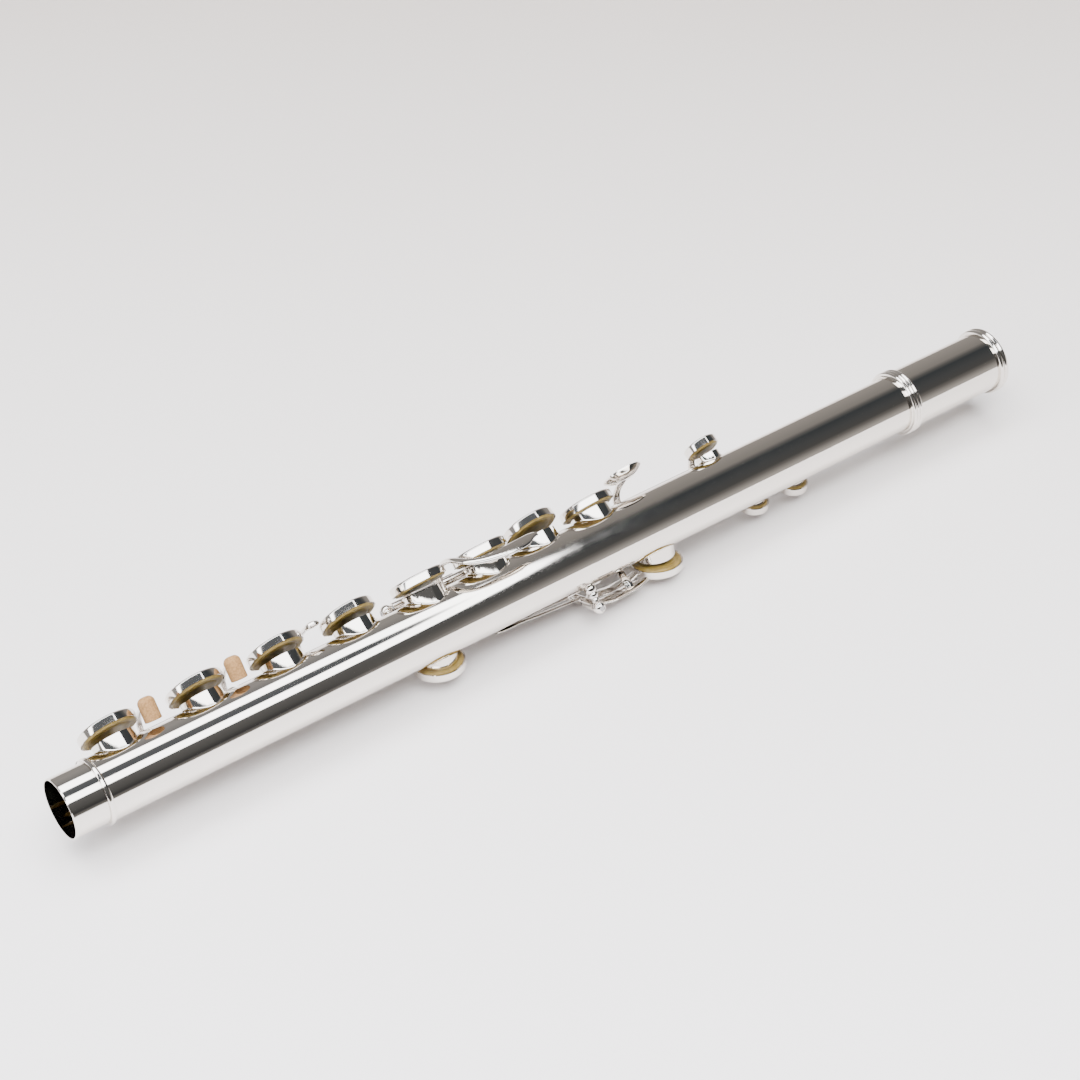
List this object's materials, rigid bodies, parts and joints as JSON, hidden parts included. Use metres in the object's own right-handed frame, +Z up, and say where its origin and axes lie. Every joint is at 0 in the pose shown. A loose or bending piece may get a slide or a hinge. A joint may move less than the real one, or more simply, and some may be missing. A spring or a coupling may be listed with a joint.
{
  "type": "concert flute body joint",
  "caption": "Body joint of a concert flute: tube with drawn tone holes, foot tenon, head socket and a full sprung Boehm key mechanism.",
  "frame": {"origin": "centre of the head-joint socket's mouth, at the barrel end", "axes": "+X along the bore, out of the head-joint socket; +Z up from the table with the flute lying on its back keys; -Y towards the listener's side of the tube"},
  "size_m": [0.368, 0.0364, 0.038],
  "materials": {
    "silver_plate": "polished silver plate",
    "pad_skin": "felt in yellow bladder skin",
    "cork": "natural cork",
    "steel": "ground steel"
  },
  "bodies": {
    "body": {"body_tube": "silver_plate", "tenon_sleeve": "silver_plate", "tenon_ring": "silver_plate", "barrel_sleeve": "silver_plate", "barrel_body_ring": "silver_plate", "barrel_end_ring": "silver_plate", "lower_rib_posts": "silver_plate", "middle_rib_posts": "silver_plate", "upper_rib_posts": "silver_plate", "trill_posts": "silver_plate", "thumb_posts": "silver_plate", "thumb_springs": "steel", "lower_steel": "steel", "g_steel": "steel", "upper_steel": "steel", "thumb_steel": "steel", "pivot_screws": "steel", "needle_springs": "steel"},
    "d_key_body": {"d_key": "silver_plate", "d_pad": "pad_skin"},
    "e_key_body": {"e_key": "silver_plate", "e_pad": "pad_skin"},
    "f_key_body": {"f_key": "silver_plate", "f_pad": "pad_skin"},
    "fsharp_key_body": {"fsharp_key": "silver_plate", "fsharp_pad": "pad_skin"},
    "g_keys_body": {"g_keys": "silver_plate", "g_lower_pad": "pad_skin", "g_upper_pad": "pad_skin"},
    "gsharp_key_body": {"gsharp_key": "silver_plate", "gsharp_pad": "pad_skin"},
    "a_key_body": {"a_key": "silver_plate", "a_pad": "pad_skin"},
    "bflat_key_body": {"bflat_key": "silver_plate", "bflat_pad": "pad_skin"},
    "c_key_body": {"c_key": "silver_plate", "csharp_pad": "pad_skin"},
    "thumb_b_body": {"thumb_b_key": "silver_plate", "thumb_b_pad": "pad_skin"},
    "thumb_bflat_body": {"thumb_bflat_lever": "silver_plate"},
    "side_lever_body": {"bflat_side_lever": "silver_plate"},
    "d_trill_body": {"d_trill_rod": "silver_plate", "d_trill_touch_arm": "silver_plate", "d_trill_cup": "silver_plate", "d_trill_pad": "pad_skin", "d_touch_cork": "cork"},
    "dsharp_trill_body": {"dsharp_trill_rod": "silver_plate", "dsharp_trill_touch_arm": "silver_plate", "dsharp_trill_cup": "silver_plate", "dsharp_trill_pad": "pad_skin", "dsharp_touch_cork": "cork"}
  },
  "joints": [
    {"name": "d_key_hinge", "type": "hinge", "parent": "body", "child": "d_key_body", "pos_m": [-0.3445, 0.01565, -0.00419], "axis": [1, 0, 0], "range_deg": [0, 6.5], "stiffness_Nm_per_rad": 0.02, "springref_deg": -20},
    {"name": "e_key_hinge", "type": "hinge", "parent": "body", "child": "e_key_body", "pos_m": [-0.3152, 0.01565, -0.00419], "axis": [1, 0, 0], "range_deg": [0, 6.5], "stiffness_Nm_per_rad": 0.02, "springref_deg": -20},
    {"name": "f_key_hinge", "type": "hinge", "parent": "body", "child": "f_key_body", "pos_m": [-0.2874, 0.01565, -0.00419], "axis": [1, 0, 0], "range_deg": [0, 6.5], "stiffness_Nm_per_rad": 0.02, "springref_deg": -20},
    {"name": "fsharp_key_hinge", "type": "hinge", "parent": "body", "child": "fsharp_key_body", "pos_m": [-0.2614, 0.01565, -0.00419], "axis": [1, 0, 0], "range_deg": [0, 6.5], "stiffness_Nm_per_rad": 0.02, "springref_deg": -20},
    {"name": "g_keys_hinge", "type": "hinge", "parent": "body", "child": "g_keys_body", "pos_m": [-0.225, 0.01615, -0.00124], "axis": [1, 0, 0], "range_deg": [0, 6.3], "stiffness_Nm_per_rad": 0.02, "springref_deg": -20},
    {"name": "gsharp_key_hinge", "type": "hinge", "parent": "body", "child": "gsharp_key_body", "pos_m": [-0.225, 0.01615, -0.00124], "axis": [1, 0, 0], "range_deg": [0, 6], "stiffness_Nm_per_rad": 0.02, "springref_deg": -20},
    {"name": "a_key_hinge", "type": "hinge", "parent": "body", "child": "a_key_body", "pos_m": [-0.1916, 0.01565, -0.00419], "axis": [1, 0, 0], "range_deg": [0, 9], "stiffness_Nm_per_rad": 0.02, "springref_deg": -20},
    {"name": "bflat_key_hinge", "type": "hinge", "parent": "body", "child": "bflat_key_body", "pos_m": [-0.17, 0.01565, -0.00419], "axis": [1, 0, 0], "range_deg": [-8, 0]},
    {"name": "c_key_hinge", "type": "hinge", "parent": "body", "child": "c_key_body", "pos_m": [-0.136, 0.01565, -0.00419], "axis": [1, 0, 0], "range_deg": [0, 7], "stiffness_Nm_per_rad": 0.02, "springref_deg": -20},
    {"name": "thumb_b_hinge", "type": "hinge", "parent": "body", "child": "thumb_b_body", "pos_m": [-0.183, -0.00552, -0.01438], "axis": [0, -0.9336, 0.3584], "range_deg": [0, 3.5], "stiffness_Nm_per_rad": 0.02, "springref_deg": -20},
    {"name": "thumb_bflat_hinge", "type": "hinge", "parent": "body", "child": "thumb_bflat_body", "pos_m": [-0.183, -0.00552, -0.01438], "axis": [0, -0.9336, 0.3584], "range_deg": [-2.5, 0], "stiffness_Nm_per_rad": 0.02, "springref_deg": 20},
    {"name": "side_lever_hinge", "type": "hinge", "parent": "body", "child": "side_lever_body", "pos_m": [-0.223, 0.01311, -0.00788], "axis": [1, 0, 0], "range_deg": [0, 5], "stiffness_Nm_per_rad": 0.02, "springref_deg": -20},
    {"name": "d_trill_hinge", "type": "hinge", "parent": "body", "child": "d_trill_body", "pos_m": [-0.206, 0.01101, -0.01063], "axis": [1, 0, 0], "range_deg": [0, 5], "stiffness_Nm_per_rad": 0.02, "springref_deg": -20},
    {"name": "dsharp_trill_hinge", "type": "hinge", "parent": "body", "child": "dsharp_trill_body", "pos_m": [-0.211, 0.00856, -0.01268], "axis": [1, 0, 0], "range_deg": [0, 5], "stiffness_Nm_per_rad": 0.02, "springref_deg": -20}
  ],
  "couplings": [
    {"joint": "fsharp_key_hinge", "follows": "f_key_hinge", "ratio": 1},
    {"joint": "bflat_key_hinge", "follows": "thumb_bflat_hinge", "ratio": 3.2}
  ]
}
